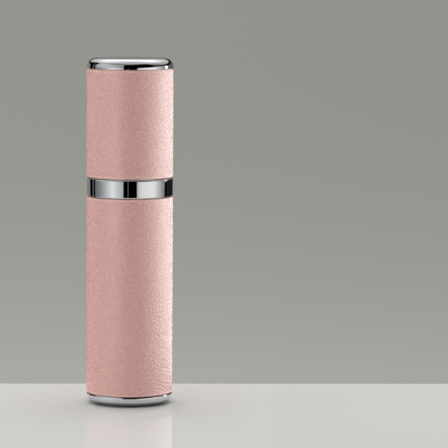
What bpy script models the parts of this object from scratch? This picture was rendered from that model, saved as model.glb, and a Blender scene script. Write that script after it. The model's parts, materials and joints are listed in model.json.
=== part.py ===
"""A refillable travel perfume atomiser: a leather-wrapped case with a pull-off cap over a screw-on spray pump.

The axis of the bottle is +Z, the base stands on z = 0, and the spray nozzle faces -Y.
Sizes are millimetres, and the builders below turn them into metres. Heights are above the base.
"""

import math

import bmesh
import bpy

MM = 0.001

# Driving sizes of the outside
BODY_RADIUS = 12.0  # over the leather
HEIGHT = 95.7
BASE_RISE = 3.0  # bright metal seen below the leather
RING_BOTTOM = 57.6
RING_TOP = 62.8
CAP_TOP_BOTTOM = 92.8
METAL_RADIUS = 11.95  # foot and crown, all but flush with the leather
RING_RADIUS = 11.88
CROWN_CORNER = 2.4
FOOT_REACH, FOOT_RISE = 4.4, 2.6  # rounding under the foot: how far in, and how high

# Walls and gaps
LEATHER = 0.5
TUBE_WALL = 0.4
FIT = 0.05  # between pieces pressed or glued together
SEAT = 0.1  # between the ends of pieces that meet
SEAM = 0.15  # butt joint of the leather, at the back

# Strokes of the moving pieces
SPRAY_STROKE = 4.0
CAP_PARTING = 0.2  # shadow gap under the cap

# The radial stack of the case and of the cap
LEATHER_INNER = BODY_RADIUS - LEATHER
TUBE_OUTER = LEATHER_INNER - FIT
TUBE_INNER = TUBE_OUTER - TUBE_WALL
INSERT_RADIUS = TUBE_INNER - FIT
SPIGOT_WALL = 0.6
SPIGOT_INNER = INSERT_RADIUS - SPIGOT_WALL

# Case
BASE_FLOOR = 1.3
BASE_RECESS_RADIUS, BASE_RECESS = 5.5, 0.3
SPIGOT = 3.0
LINER_OUTER, LINER_INNER, LINER_FLOOR = 10.3, 9.7, 0.8
LINER_BOTTOM = BASE_FLOOR + SEAT
LINER_TOP = 52.5
CUSHION_RADIUS, CUSHION = 9.0, 1.0
CUSHION_BOTTOM = LINER_BOTTOM + LINER_FLOOR + FIT

# Glass vial
VIAL_BOTTOM = CUSHION_BOTTOM + CUSHION + FIT
VIAL_RADIUS, GLASS = 9.5, 1.2
VIAL_CORNER = 1.3
VIAL_SHOULDER = 51.5
VIAL_NECK_ROOT = 57.5
VIAL_TOP = 69.0
VIAL_NECK, VIAL_BORE = 6.65, 5.4

# Screw thread between the vial and the closure
PITCH = 2.1
THREAD_TURNS = 1.5
THREAD_HEIGHT = 0.75
THREAD_ROOT_WIDTH, THREAD_CREST_WIDTH = 1.0, 0.5
THREAD_BOTTOM = 63.0
THREAD_EMBED = 0.25

# Middle ring, whose neck holds the cap
RING_BORE = 8.85
NECK_RADIUS = 10.15
NECK_TOP = RING_TOP + 7.0
RING_SKIRT = 3.9
RING_EDGE = 0.4
GROOVE_BOTTOM, GROOVE_TOP, GROOVE_RADIUS = 65.4, 66.8, 9.35
O_RING_SECTION = 0.42

# Closure of the spray pump
GASKET_BOTTOM, GASKET = VIAL_TOP + FIT, 0.8
FLANGE_BOTTOM = GASKET_BOTTOM + GASKET + FIT
FLANGE_TOP = FLANGE_BOTTOM + 1.1
CLOSURE_RADIUS, CLOSURE_INNER = 8.35, 7.55
CLOSURE_BOTTOM = 61.3
CLOSURE_CEILING = FLANGE_TOP + FIT
CLOSURE_TOP = CLOSURE_CEILING + 1.15
SHELL_RADIUS, SHELL_WALL = 8.65, 0.25
SHELL_TOP = CLOSURE_TOP + FIT + 0.35

# Pump
PUMP_RADIUS, PUMP_BORE = 3.5, 2.7
PUMP_PLUG = 4.9
SOCKET_RADIUS, SOCKET_BOTTOM, SOCKET_TOP = 2.1, 44.6, 49.0
SPRING_LEDGE = 53.0
TURRET_RADIUS, TURRET_TOP = 4.2, 74.0
STEM_RADIUS, STEM_BORE = 1.6, 0.7
STEM_BOTTOM, STEM_TOP = 61.3, 80.6
STEM_SHOULDER = 2.1
STEM_CLEARANCE = 0.1
PORT_HEIGHT, PORT_RADIUS = 64.2, 0.3
PISTON_RADIUS = 2.62
BALL_RADIUS, BALL_HEIGHT = 1.0, 50.74
TUBE_BOTTOM, DIP_RADIUS, DIP_BORE = 6.0, 1.15, 0.6
WIRE, COIL_RADIUS, COILS = 0.5, 2.0, 6.5

# Actuator
ACTUATOR_RADIUS = 6.5
ACTUATOR_BOTTOM = SHELL_TOP + SPRAY_STROKE + 0.6
ACTUATOR_TOP = ACTUATOR_BOTTOM + 7.3
ACTUATOR_CEILING, ACTUATOR_CHAMFER = ACTUATOR_TOP - 0.8, 0.5
BUTTON_RADIUS = ACTUATOR_RADIUS - SHELL_WALL - FIT
NOZZLE_HEIGHT = ACTUATOR_BOTTOM + 4.2
NOZZLE_RADIUS = 1.8
NOZZLE_BACK, NOZZLE_FRONT = 4.4, 6.3

# Cap
CAP_BOTTOM = RING_TOP + CAP_PARTING
CAP_LINER_INNER = 10.3
CAP_SPIGOT = 1.9
CAP_LINER_TOP = CAP_TOP_BOTTOM - CAP_SPIGOT - SEAT
CAP_LINER_ROOF = 0.8

# Facets round the axis
WIDE_STEPS = 36
NARROW_STEPS = 24
FINE_STEPS = 16
CORNER_STEPS = 4
SHARP_ANGLE = math.radians(35)
MERGE_DISTANCE = 1e-7


def clear_scene():
    for obj in list(bpy.data.objects):
        bpy.data.objects.remove(obj, do_unlink=True)


def make_material(name, colour, roughness, metallic=0.0, transmission=0.0):
    material = bpy.data.materials.new(name)
    material.use_nodes = True
    shader = material.node_tree.nodes["Principled BSDF"]
    shader.inputs["Base Color"].default_value = (*colour, 1.0)
    shader.inputs["Roughness"].default_value = roughness
    shader.inputs["Metallic"].default_value = metallic
    shader.inputs["Transmission Weight"].default_value = transmission
    material.diffuse_color = (*colour, 1.0)
    return material


def make_frame(name, height, parent=None):
    """An empty on the axis, at the foot of a group of pieces that move together."""
    frame = bpy.data.objects.new(name, None)
    bpy.context.scene.collection.objects.link(frame)
    frame.empty_display_size = 5 * MM
    if parent:
        frame.parent = parent
    lowered = parent.get("height", 0.0) if parent else 0.0
    frame["height"] = height
    frame.location.z = (height - lowered) * MM
    return frame


def add_object(name, bm, material, parent, height):
    """Links a mesh, modelled from its own foot, at a height above the base."""
    mesh = bpy.data.meshes.new(name)
    bm.to_mesh(mesh)
    bm.free()
    mesh.shade_smooth()
    mesh.set_sharp_from_angle(angle=SHARP_ANGLE)
    obj = bpy.data.objects.new(name, mesh)
    bpy.context.scene.collection.objects.link(obj)
    if material:
        mesh.materials.append(material)
    if parent:
        obj.parent = parent
    obj.location.z = (height - (parent["height"] if parent else 0.0)) * MM
    return obj


def arc(centre_radius, centre_height, radius, start, end, steps=CORNER_STEPS, rise=None):
    """Points of a rounded corner in the profile plane, with angles in degrees from outwards (0) to up (90).

    With a rise the corner is elliptical: radius wide and rise high.
    """
    rise = rise or radius
    angles = [math.radians(start + (end - start) * i / steps) for i in range(steps + 1)]
    return [(centre_radius + radius * math.cos(a), centre_height + rise * math.sin(a)) for a in angles]


def lathe_mesh(outline, steps, foot=0.0, turn=2 * math.pi, start=0.0):
    """Spins an outline of (radius, height) about the axis. Its two ends may lie on the axis.

    The mesh stands on its own foot. A part turn gets its two end faces.
    """
    bm = bmesh.new()
    points = [
        bm.verts.new((r * MM * math.cos(start), r * MM * math.sin(start), (z - foot) * MM))
        for r, z in outline
    ]
    on_axis = outline[0][0] == 0 and outline[-1][0] == 0
    pairs = list(zip(points, points[1:]))
    if not on_axis:
        pairs.append((points[-1], points[0]))
    edges = [bm.edges.new(pair) for pair in pairs]
    full = turn == 2 * math.pi
    bmesh.ops.spin(
        bm, geom=points + edges, cent=(0, 0, 0), axis=(0, 0, 1), angle=turn, steps=steps, use_merge=full
    )
    if not full:
        bmesh.ops.holes_fill(bm, edges=bm.edges)
    bmesh.ops.remove_doubles(bm, verts=bm.verts, dist=MERGE_DISTANCE)
    bmesh.ops.recalc_face_normals(bm, faces=bm.faces)
    return bm


def lathe(name, outline, material, parent, steps=WIDE_STEPS):
    foot = min(z for _, z in outline)
    return add_object(name, lathe_mesh(outline, steps, foot), material, parent, foot)


def sleeve(name, inner, outer, bottom, top, material, parent):
    outline = [(inner, bottom), (outer, bottom), (outer, top), (inner, top)]
    return lathe(name, outline, material, parent)


def disc(name, radius, bottom, top, material, parent):
    outline = [(0, bottom), (radius, bottom), (radius, top), (0, top)]
    return lathe(name, outline, material, parent)


def boolean(obj, other, operation):
    modifier = obj.modifiers.new(operation.lower() + "_" + other.name, "BOOLEAN")
    modifier.operation = operation
    modifier.object = other
    modifier.solver = "EXACT"


def hide_helper(obj):
    obj.hide_render = True
    obj.display_type = "WIRE"
    return obj


def cross_cutter(name, parent, radius, height, start, end, axis):
    """A round cutter across the bottle's axis, from start to end along +X or -Y."""
    bm = bmesh.new()
    bmesh.ops.create_cone(
        bm, cap_ends=True, segments=FINE_STEPS, radius1=radius * MM, radius2=radius * MM,
        depth=(end - start) * MM,
    )
    cutter = add_object(name, bm, None, parent, height)
    middle = (start + end) / 2 * MM
    if axis == "-Y":
        cutter.rotation_euler.x = math.pi / 2
        cutter.location.y = -middle
    else:
        cutter.rotation_euler.y = math.pi / 2
        cutter.location.x = middle
    return hide_helper(cutter)


def thread_ridge(name, parent, root_radius, crest_radius, bottom, first_turn):
    """A helical ridge that fades in and out of its wall over a quarter turn. bottom is its height at turn 0."""
    fade, half_facet = 0.25, 0.5 / WIDE_STEPS
    embed = math.copysign(THREAD_EMBED, root_radius - crest_radius)
    faded = root_radius + embed / 2
    bm = bmesh.new()
    rings = []
    steps = int(THREAD_TURNS * WIDE_STEPS)
    for i in range(steps + 1):
        done = i / WIDE_STEPS
        share = min(1.0, done / fade, (THREAD_TURNS - done) / fade)
        crest = faded + (crest_radius - faded) * share
        angle = 2 * math.pi * (first_turn + done + half_facet)
        middle = PITCH * (first_turn + done)
        section = [
            (root_radius + embed, middle - THREAD_ROOT_WIDTH / 2),
            (crest, middle - THREAD_CREST_WIDTH / 2),
            (crest, middle + THREAD_CREST_WIDTH / 2),
            (root_radius + embed, middle + THREAD_ROOT_WIDTH / 2),
        ]
        rings.append([
            bm.verts.new((r * MM * math.cos(angle), r * MM * math.sin(angle), z * MM))
            for r, z in section
        ])
    for near, far in zip(rings, rings[1:]):
        for i in range(4):
            j = (i + 1) % 4
            bm.faces.new((near[i], near[j], far[j], far[i]))
    bm.faces.new(rings[0])
    bm.faces.new(rings[-1])
    bmesh.ops.recalc_face_normals(bm, faces=bm.faces)
    return hide_helper(add_object(name, bm, None, parent, bottom))


def base_cap(chrome, case):
    """The rounded metal foot, whose spigot plugs the end of the tube."""
    outline = [
        (0, BASE_RECESS),
        (BASE_RECESS_RADIUS - BASE_RECESS, BASE_RECESS),
        (BASE_RECESS_RADIUS, 0),
        *arc(METAL_RADIUS - FOOT_REACH, FOOT_RISE, FOOT_REACH, -90, 0, 7, FOOT_RISE),
        (METAL_RADIUS, BASE_RISE),
        (INSERT_RADIUS, BASE_RISE),
        (INSERT_RADIUS, BASE_RISE + SPIGOT),
        (SPIGOT_INNER, BASE_RISE + SPIGOT),
        (SPIGOT_INNER, BASE_FLOOR),
        (0, BASE_FLOOR),
    ]
    return lathe("base_cap", outline, chrome, case)


def leather_wrap(name, bottom, top, leather, parent):
    """A strip of leather rolled round the tube, with its two ends butted at the back."""
    edge = 0.2
    outline = [
        (LEATHER_INNER, bottom),
        (BODY_RADIUS - edge, bottom),
        (BODY_RADIUS, bottom + edge),
        (BODY_RADIUS, top - edge),
        (BODY_RADIUS - edge, top),
        (LEATHER_INNER, top),
    ]
    gap = SEAM / BODY_RADIUS
    bm = lathe_mesh(outline, WIDE_STEPS, bottom, 2 * math.pi - gap, math.pi / 2 + gap / 2)
    return add_object(name, bm, leather, parent, bottom)


def vial_liner(plastic, case):
    """The plastic sleeve that grips the vial, with two collars that centre it in the tube."""
    collar = 1.4
    waist = (LINER_BOTTOM + LINER_TOP) / 2
    outline = [(0, LINER_BOTTOM), (LINER_OUTER, LINER_BOTTOM)]
    for low in (waist, LINER_TOP - collar):
        outline += [
            (LINER_OUTER, low),
            (INSERT_RADIUS, low),
            (INSERT_RADIUS, low + collar),
            (LINER_OUTER, low + collar),
        ]
    outline.pop()  # the upper collar ends at the rim
    outline += [
        (LINER_INNER, LINER_TOP),
        (LINER_INNER, LINER_BOTTOM + LINER_FLOOR),
        (0, LINER_BOTTOM + LINER_FLOOR),
    ]
    return lathe("vial_liner", outline, plastic, case)


def glass_vial(glass, case):
    """The refillable vial, with a screw neck and a raised bottom."""
    push_up, floor = 0.5, 1.6
    shoulder_radius = VIAL_RADIUS - VIAL_NECK
    shoulder_rise = VIAL_NECK_ROOT - VIAL_SHOULDER
    inner = VIAL_RADIUS - GLASS
    outer_shoulder = [
        (VIAL_NECK + shoulder_radius * math.cos(a), VIAL_SHOULDER + shoulder_rise * math.sin(a))
        for a in [math.pi / 2 * i / CORNER_STEPS for i in range(CORNER_STEPS + 1)]
    ]
    inner_shoulder = [
        (VIAL_BORE + (inner - VIAL_BORE) * math.cos(a), VIAL_SHOULDER - 1 + shoulder_rise * math.sin(a))
        for a in [math.pi / 2 * i / CORNER_STEPS for i in range(CORNER_STEPS, -1, -1)]
    ]
    outline = [
        (0, VIAL_BOTTOM + push_up),
        (inner - VIAL_CORNER, VIAL_BOTTOM),
        *arc(VIAL_RADIUS - VIAL_CORNER, VIAL_BOTTOM + VIAL_CORNER, VIAL_CORNER, -90, 0, 3),
        *outer_shoulder,
        (VIAL_NECK, VIAL_TOP),
        (VIAL_BORE, VIAL_TOP),
        *inner_shoulder,
        (inner, VIAL_BOTTOM + floor + VIAL_CORNER),
        (inner - VIAL_CORNER, VIAL_BOTTOM + floor),
        (0, VIAL_BOTTOM + floor + push_up / 2),
    ]
    vial = lathe("glass_vial", outline, glass, case)
    ridge = thread_ridge("vial_thread", case, VIAL_NECK, VIAL_NECK + THREAD_HEIGHT, THREAD_BOTTOM, 0.0)
    boolean(vial, ridge, "UNION")
    return vial


def middle_ring(chrome, case):
    """The bright ring between the two leathers. Its skirt plugs the tube and its neck carries the cap."""
    skirt_inner, ledge = 10.3, 0.7
    lead_in = 0.4
    outline = [
        (INSERT_RADIUS, RING_BOTTOM - RING_SKIRT),
        (INSERT_RADIUS, RING_BOTTOM),
        *arc(RING_RADIUS - RING_EDGE, RING_BOTTOM + RING_EDGE, RING_EDGE, -90, 0, 3),
        *arc(RING_RADIUS - RING_EDGE, RING_TOP - RING_EDGE, RING_EDGE, 0, 90, 3),
        (NECK_RADIUS, RING_TOP),
        (NECK_RADIUS, GROOVE_BOTTOM),
        (GROOVE_RADIUS, GROOVE_BOTTOM),
        (GROOVE_RADIUS, GROOVE_TOP),
        (NECK_RADIUS, GROOVE_TOP),
        (NECK_RADIUS, NECK_TOP - lead_in),
        (NECK_RADIUS - lead_in, NECK_TOP),
        (RING_BORE, NECK_TOP),
        (RING_BORE, RING_BOTTOM + ledge),
        (skirt_inner, RING_BOTTOM - ledge),
        (skirt_inner, RING_BOTTOM - RING_SKIRT),
    ]
    return lathe("middle_ring", outline, chrome, case)


def neck_o_ring(rubber, frame):
    """The rubber ring in the neck's groove, which the cap slides and turns on."""
    centre_radius = GROOVE_RADIUS + FIT + O_RING_SECTION
    centre_height = (GROOVE_BOTTOM + GROOVE_TOP) / 2
    outline = arc(centre_radius, centre_height, O_RING_SECTION, 0, 315, 7)
    return lathe("neck_o_ring", outline, rubber, frame)


def closure(plastic, sprayer):
    """The screw cap of the pump, threaded inside."""
    hole = TURRET_RADIUS + SEAT
    outline = [
        (CLOSURE_INNER, CLOSURE_BOTTOM),
        (CLOSURE_RADIUS, CLOSURE_BOTTOM),
        (CLOSURE_RADIUS, CLOSURE_TOP),
        (hole, CLOSURE_TOP),
        (hole, CLOSURE_CEILING),
        (CLOSURE_INNER, CLOSURE_CEILING),
    ]
    body = lathe("closure", outline, plastic, sprayer)
    ridge = thread_ridge(
        "closure_thread", sprayer, CLOSURE_INNER, CLOSURE_INNER - THREAD_HEIGHT,
        THREAD_BOTTOM - PITCH / 2, 0.125,
    )
    boolean(body, ridge, "UNION")
    return body


def closure_shell(metal, sprayer):
    """The metal cover over the closure."""
    inner, hole, rounding = SHELL_RADIUS - SHELL_WALL, TURRET_RADIUS + 0.8, 0.5
    outline = [
        (inner, CLOSURE_BOTTOM),
        (SHELL_RADIUS, CLOSURE_BOTTOM),
        *arc(SHELL_RADIUS - rounding, SHELL_TOP - rounding, rounding, 0, 90, 3),
        (hole, SHELL_TOP),
        (hole, CLOSURE_TOP + FIT),
        (inner, CLOSURE_TOP + FIT),
    ]
    return lathe("closure_shell", outline, metal, sprayer)


def pump_housing(plastic, sprayer):
    """The pump's cylinder: a flange on the gasket, a bore for the piston, a seat for the ball and a tube socket."""
    seat_radius, well_radius, lip_radius, lip = 0.8, 1.25, 0.85, 0.4
    seat_bottom, seat_top = 50.0, 50.9
    outline = [
        (PUMP_BORE, FLANGE_TOP),
        (7.2, FLANGE_TOP),
        (7.2, FLANGE_BOTTOM),
        (PUMP_PLUG, FLANGE_BOTTOM),
        (PUMP_PLUG, FLANGE_BOTTOM - 2.4),
        (PUMP_RADIUS, FLANGE_BOTTOM - 3.4),
        (PUMP_RADIUS, seat_bottom),
        (SOCKET_RADIUS, seat_bottom - 1.5),
        (SOCKET_RADIUS, SOCKET_BOTTOM),
        (DIP_RADIUS + FIT, SOCKET_BOTTOM),
        (DIP_RADIUS + FIT, SOCKET_TOP),
        (seat_radius, SOCKET_TOP),
        (seat_radius, seat_bottom),
        (well_radius, seat_top),
        (well_radius, SPRING_LEDGE - lip),
        (lip_radius, SPRING_LEDGE - lip),
        (lip_radius, SPRING_LEDGE),
        (PUMP_BORE, SPRING_LEDGE),
    ]
    housing = lathe("pump_housing", outline, plastic, sprayer, NARROW_STEPS)
    vent = cross_cutter("vent_cutter", sprayer, PORT_RADIUS, PORT_HEIGHT, 2.0, 4.5, "+X")
    boolean(housing, vent, "DIFFERENCE")
    return housing


def pump_turret(plastic, sprayer):
    """The gland that keeps the stem in the housing and stops its upward travel."""
    hole, rounding = STEM_RADIUS + STEM_CLEARANCE, 0.6
    outline = [
        (hole, FLANGE_TOP + FIT),
        (TURRET_RADIUS, FLANGE_TOP + FIT),
        *arc(TURRET_RADIUS - rounding, TURRET_TOP - rounding, rounding, 0, 90, 2),
        (hole, TURRET_TOP),
    ]
    return lathe("pump_turret", outline, plastic, sprayer, NARROW_STEPS)


def dip_tube(plastic, sprayer):
    """The suction tube, with its lower end cut on a slant."""
    top = SOCKET_TOP - SEAT
    outline = [(DIP_BORE, TUBE_BOTTOM), (DIP_RADIUS, TUBE_BOTTOM), (DIP_RADIUS, top), (DIP_BORE, top)]
    tube = lathe("dip_tube", outline, plastic, sprayer, FINE_STEPS)
    for vertex in tube.data.vertices:
        if vertex.co.z < MERGE_DISTANCE:
            vertex.co.z = vertex.co.x + DIP_RADIUS * MM
    return tube


def inlet_ball(steel, frame):
    bm = bmesh.new()
    bmesh.ops.create_uvsphere(bm, u_segments=FINE_STEPS, v_segments=10, radius=BALL_RADIUS * MM)
    return add_object("inlet_ball", bm, steel, frame, BALL_HEIGHT)


def return_spring(steel, sprayer):
    """A compression spring whose end coils lie nearly flat."""
    bottom = SPRING_LEDGE + WIRE / 2 + FIT
    top = STEM_BOTTOM - WIRE / 2 - FIT
    end_pitch = WIRE + 0.12
    points_a_turn = 14
    middle_pitch = (top - bottom - 2 * end_pitch) / (COILS - 2)
    curve = bpy.data.curves.new("return_spring", "CURVE")
    curve.dimensions = "3D"
    curve.bevel_depth = WIRE / 2 * MM
    curve.bevel_resolution = 1
    curve.use_fill_caps = True
    curve.materials.append(steel)
    count = int(COILS * points_a_turn) + 1
    spline = curve.splines.new("POLY")
    spline.points.add(count - 1)
    for i, point in enumerate(spline.points):
        turn = COILS * i / (count - 1)
        ends = min(turn, 1.0) + max(turn - (COILS - 1.0), 0.0)
        rise = end_pitch * ends + middle_pitch * (turn - ends)
        angle = 2 * math.pi * turn
        point.co = (
            COIL_RADIUS * MM * math.cos(angle),
            COIL_RADIUS * MM * math.sin(angle),
            rise * MM,
            1.0,
        )
    spring = bpy.data.objects.new("return_spring", curve)
    bpy.context.scene.collection.objects.link(spring)
    spring.parent = sprayer
    spring.location.z = (bottom - sprayer["height"]) * MM
    return spring


def stem(plastic, frame):
    """The hollow push rod. The piston covers its side port until the spray stroke opens it."""
    flare, flare_top = 2.2, STEM_BOTTOM + 0.9
    shoulder_bottom, bore_bottom = 66.1, STEM_BOTTOM + 1.9
    outline = [
        (0, STEM_BOTTOM),
        (flare, STEM_BOTTOM),
        (flare, flare_top),
        (STEM_RADIUS, flare_top + 0.4),
        (STEM_RADIUS, shoulder_bottom),
        (STEM_SHOULDER, shoulder_bottom),
        (STEM_SHOULDER, FLANGE_TOP - 0.2),
        (STEM_RADIUS, FLANGE_TOP - 0.2),
        (STEM_RADIUS, STEM_TOP),
        (STEM_BORE, STEM_TOP),
        (STEM_BORE, bore_bottom),
        (0, bore_bottom),
    ]
    rod = lathe("stem", outline, plastic, frame, NARROW_STEPS)
    port = cross_cutter("port_cutter", frame, PORT_RADIUS, PORT_HEIGHT, -2.5, 2.5, "+X")
    boolean(rod, port, "DIFFERENCE")
    return rod


def piston(plastic, frame):
    """The sealing piston, with a lip at each end."""
    inner, waist = STEM_RADIUS + STEM_CLEARANCE, 2.35
    bottom, top = STEM_BOTTOM + 1.45, 65.5
    outline = [
        (inner, bottom),
        (waist, bottom),
        (PISTON_RADIUS, bottom - 0.2),
        (PISTON_RADIUS, bottom + 0.45),
        (waist, bottom + 0.75),
        (waist, top - 0.7),
        (PISTON_RADIUS, top - 0.4),
        (PISTON_RADIUS, top + 0.2),
        (waist, top),
        (inner, top),
    ]
    return lathe("piston", outline, plastic, frame, NARROW_STEPS)


def actuator_button(plastic, frame):
    """The plastic core of the spray head: a socket on the stem and a channel to the nozzle."""
    socket, boss, skirt_inner = STEM_RADIUS + FIT, 2.9, 5.4
    socket_bottom, hollow_top = ACTUATOR_BOTTOM + 1.2, ACTUATOR_BOTTOM + 2.1
    channel_top = NOZZLE_HEIGHT + 0.5
    top = ACTUATOR_CEILING - SEAT
    outline = [
        (0, channel_top),
        (STEM_BORE, channel_top),
        (STEM_BORE, STEM_TOP + 0.2),
        (socket, STEM_TOP + 0.2),
        (socket, socket_bottom),
        (boss, socket_bottom),
        (boss, hollow_top),
        (skirt_inner, hollow_top),
        (skirt_inner, ACTUATOR_BOTTOM + SEAT),
        (BUTTON_RADIUS, ACTUATOR_BOTTOM + SEAT),
        (BUTTON_RADIUS, top - ACTUATOR_CHAMFER),
        (BUTTON_RADIUS - ACTUATOR_CHAMFER, top),
        (0, top),
    ]
    button = lathe("actuator_button", outline, plastic, frame)
    pocket = cross_cutter(
        "pocket_cutter", frame, NOZZLE_RADIUS + FIT, NOZZLE_HEIGHT, NOZZLE_BACK - FIT, 7.0, "-Y"
    )
    channel = cross_cutter("channel_cutter", frame, 0.4, NOZZLE_HEIGHT, 0.0, NOZZLE_BACK + 0.5, "-Y")
    boolean(button, pocket, "DIFFERENCE")
    boolean(button, channel, "DIFFERENCE")
    return button


def actuator_shell(metal, frame):
    """The metal cover of the spray head, dished for a fingertip, with a window for the nozzle."""
    inner, rounding, dish = ACTUATOR_RADIUS - SHELL_WALL, 0.9, 0.4
    outline = [
        (0, ACTUATOR_CEILING),
        (inner - ACTUATOR_CHAMFER, ACTUATOR_CEILING),
        (inner, ACTUATOR_CEILING - ACTUATOR_CHAMFER),
        (inner, ACTUATOR_BOTTOM),
        (ACTUATOR_RADIUS, ACTUATOR_BOTTOM),
        *arc(ACTUATOR_RADIUS - rounding, ACTUATOR_TOP - rounding, rounding, 0, 90),
        (ACTUATOR_RADIUS / 2, ACTUATOR_TOP - 0.75 * dish),
        (0, ACTUATOR_TOP - dish),
    ]
    shell = lathe("actuator_shell", outline, metal, frame)
    window = cross_cutter("window_cutter", frame, NOZZLE_RADIUS + 0.3, NOZZLE_HEIGHT, 5.0, 7.5, "-Y")
    boolean(shell, window, "DIFFERENCE")
    return shell


def nozzle_insert(plastic, frame):
    """The pressed-in nozzle, with a swirl chamber behind a fine orifice."""
    length = NOZZLE_FRONT - NOZZLE_BACK
    orifice, chamber = 0.2, 1.0
    outline = [
        (chamber, 0),
        (NOZZLE_RADIUS, 0),
        (NOZZLE_RADIUS, length - 0.2),
        (NOZZLE_RADIUS - 0.2, length),
        (0.8, length),
        (orifice, length - 0.4),
        (orifice, length - 0.7),
        (chamber, length - 0.7),
    ]
    nozzle = add_object(
        "nozzle_insert", lathe_mesh(outline, FINE_STEPS), plastic, frame, NOZZLE_HEIGHT
    )
    nozzle.rotation_euler.x = math.pi / 2
    nozzle.location.y = -NOZZLE_BACK * MM
    return nozzle


def cap_top(chrome, cap):
    """The bright crown of the cap, whose spigot plugs the cap's tube."""
    roof = 1.3
    outline = [
        (0, HEIGHT),
        *arc(METAL_RADIUS - CROWN_CORNER, HEIGHT - CROWN_CORNER, CROWN_CORNER, 90, 0, 6),
        (METAL_RADIUS, CAP_TOP_BOTTOM),
        (INSERT_RADIUS, CAP_TOP_BOTTOM),
        (INSERT_RADIUS, CAP_TOP_BOTTOM - CAP_SPIGOT),
        (SPIGOT_INNER, CAP_TOP_BOTTOM - CAP_SPIGOT),
        (SPIGOT_INNER, HEIGHT - roof - 0.6),
        (SPIGOT_INNER - 0.6, HEIGHT - roof),
        (0, HEIGHT - roof),
    ]
    return lathe("cap_top", outline, chrome, cap)


def cap_liner(plastic, cap):
    """The plastic inner cap that slides over the neck."""
    bottom, lead_in = CAP_BOTTOM + SEAT, 0.3
    outline = [
        (0, CAP_LINER_TOP),
        (INSERT_RADIUS, CAP_LINER_TOP),
        (INSERT_RADIUS, bottom),
        (CAP_LINER_INNER + lead_in, bottom),
        (CAP_LINER_INNER, bottom + lead_in),
        (CAP_LINER_INNER, CAP_LINER_TOP - CAP_LINER_ROOF),
        (0, CAP_LINER_TOP - CAP_LINER_ROOF),
    ]
    return lathe("cap_liner", outline, plastic, cap)


def build_case(looks):
    case = make_frame("case_frame", 0.0)
    base_cap(looks["chrome"], case)
    sleeve("lower_tube", TUBE_INNER, TUBE_OUTER, BASE_RISE + SEAT, RING_BOTTOM - SEAT, looks["aluminium"], case)
    leather_wrap("lower_leather", BASE_RISE + SEAT, RING_BOTTOM - SEAT, looks["leather"], case)
    vial_liner(looks["plastic"], case)
    disc(
        "vial_cushion", CUSHION_RADIUS, CUSHION_BOTTOM, CUSHION_BOTTOM + CUSHION, looks["foam"], case
    )
    glass_vial(looks["glass"], case)
    middle_ring(looks["chrome"], case)
    return case


def build_sprayer(looks, case):
    """The pump screws off the vial as one unit, and its gasket rises with it."""
    lifted = make_frame("gasket_frame", GASKET_BOTTOM, case)
    sleeve("neck_gasket", VIAL_BORE + 0.1, 7.3, GASKET_BOTTOM, GASKET_BOTTOM + GASKET, looks["foam"], lifted)
    sprayer = make_frame("sprayer_frame", CLOSURE_BOTTOM, lifted)
    closure(looks["plastic"], sprayer)
    closure_shell(looks["silver"], sprayer)
    pump_housing(looks["plastic"], sprayer)
    pump_turret(looks["plastic"], sprayer)
    dip_tube(looks["tubing"], sprayer)
    return_spring(looks["steel"], sprayer)
    inlet_ball(looks["steel"], make_frame("ball_frame", BALL_HEIGHT, sprayer))
    piston(looks["plastic"], make_frame("piston_frame", STEM_BOTTOM, sprayer))
    pressed = make_frame("stem_frame", STEM_BOTTOM, sprayer)
    stem(looks["plastic"], pressed)
    head = make_frame("actuator_frame", ACTUATOR_BOTTOM, pressed)
    actuator_button(looks["plastic"], head)
    actuator_shell(looks["silver"], head)
    nozzle_insert(looks["plastic"], head)


def build_cap(looks, case):
    turned = make_frame("o_ring_frame", GROOVE_BOTTOM, case)
    neck_o_ring(looks["rubber"], turned)
    cap = make_frame("cap_frame", CAP_BOTTOM, turned)
    top = CAP_TOP_BOTTOM - SEAT
    sleeve("cap_tube", TUBE_INNER, TUBE_OUTER, CAP_BOTTOM + FIT, top, looks["aluminium"], cap)
    leather_wrap("cap_leather", CAP_BOTTOM, top, looks["leather"], cap)
    cap_top(looks["chrome"], cap)
    cap_liner(looks["plastic"], cap)


def main():
    clear_scene()
    looks = {
        "leather": make_material("pink_leather", (0.61, 0.31, 0.27), 0.5),
        "chrome": make_material("chrome", (0.86, 0.87, 0.88), 0.05, metallic=1.0),
        "aluminium": make_material("aluminium", (0.78, 0.79, 0.80), 0.3, metallic=1.0),
        "silver": make_material("silver_shell", (0.83, 0.83, 0.84), 0.15, metallic=1.0),
        "steel": make_material("spring_steel", (0.55, 0.56, 0.58), 0.25, metallic=1.0),
        "plastic": make_material("white_plastic", (0.86, 0.86, 0.84), 0.45),
        "tubing": make_material("clear_tubing", (0.85, 0.87, 0.88), 0.3, transmission=0.6),
        "foam": make_material("foam", (0.80, 0.80, 0.78), 0.8),
        "rubber": make_material("rubber", (0.05, 0.05, 0.05), 0.6),
        "glass": make_material("glass", (0.95, 0.97, 0.97), 0.03, transmission=1.0),
    }
    case = build_case(looks)
    build_sprayer(looks, case)
    build_cap(looks, case)


main()
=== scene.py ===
import json
import math

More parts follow.
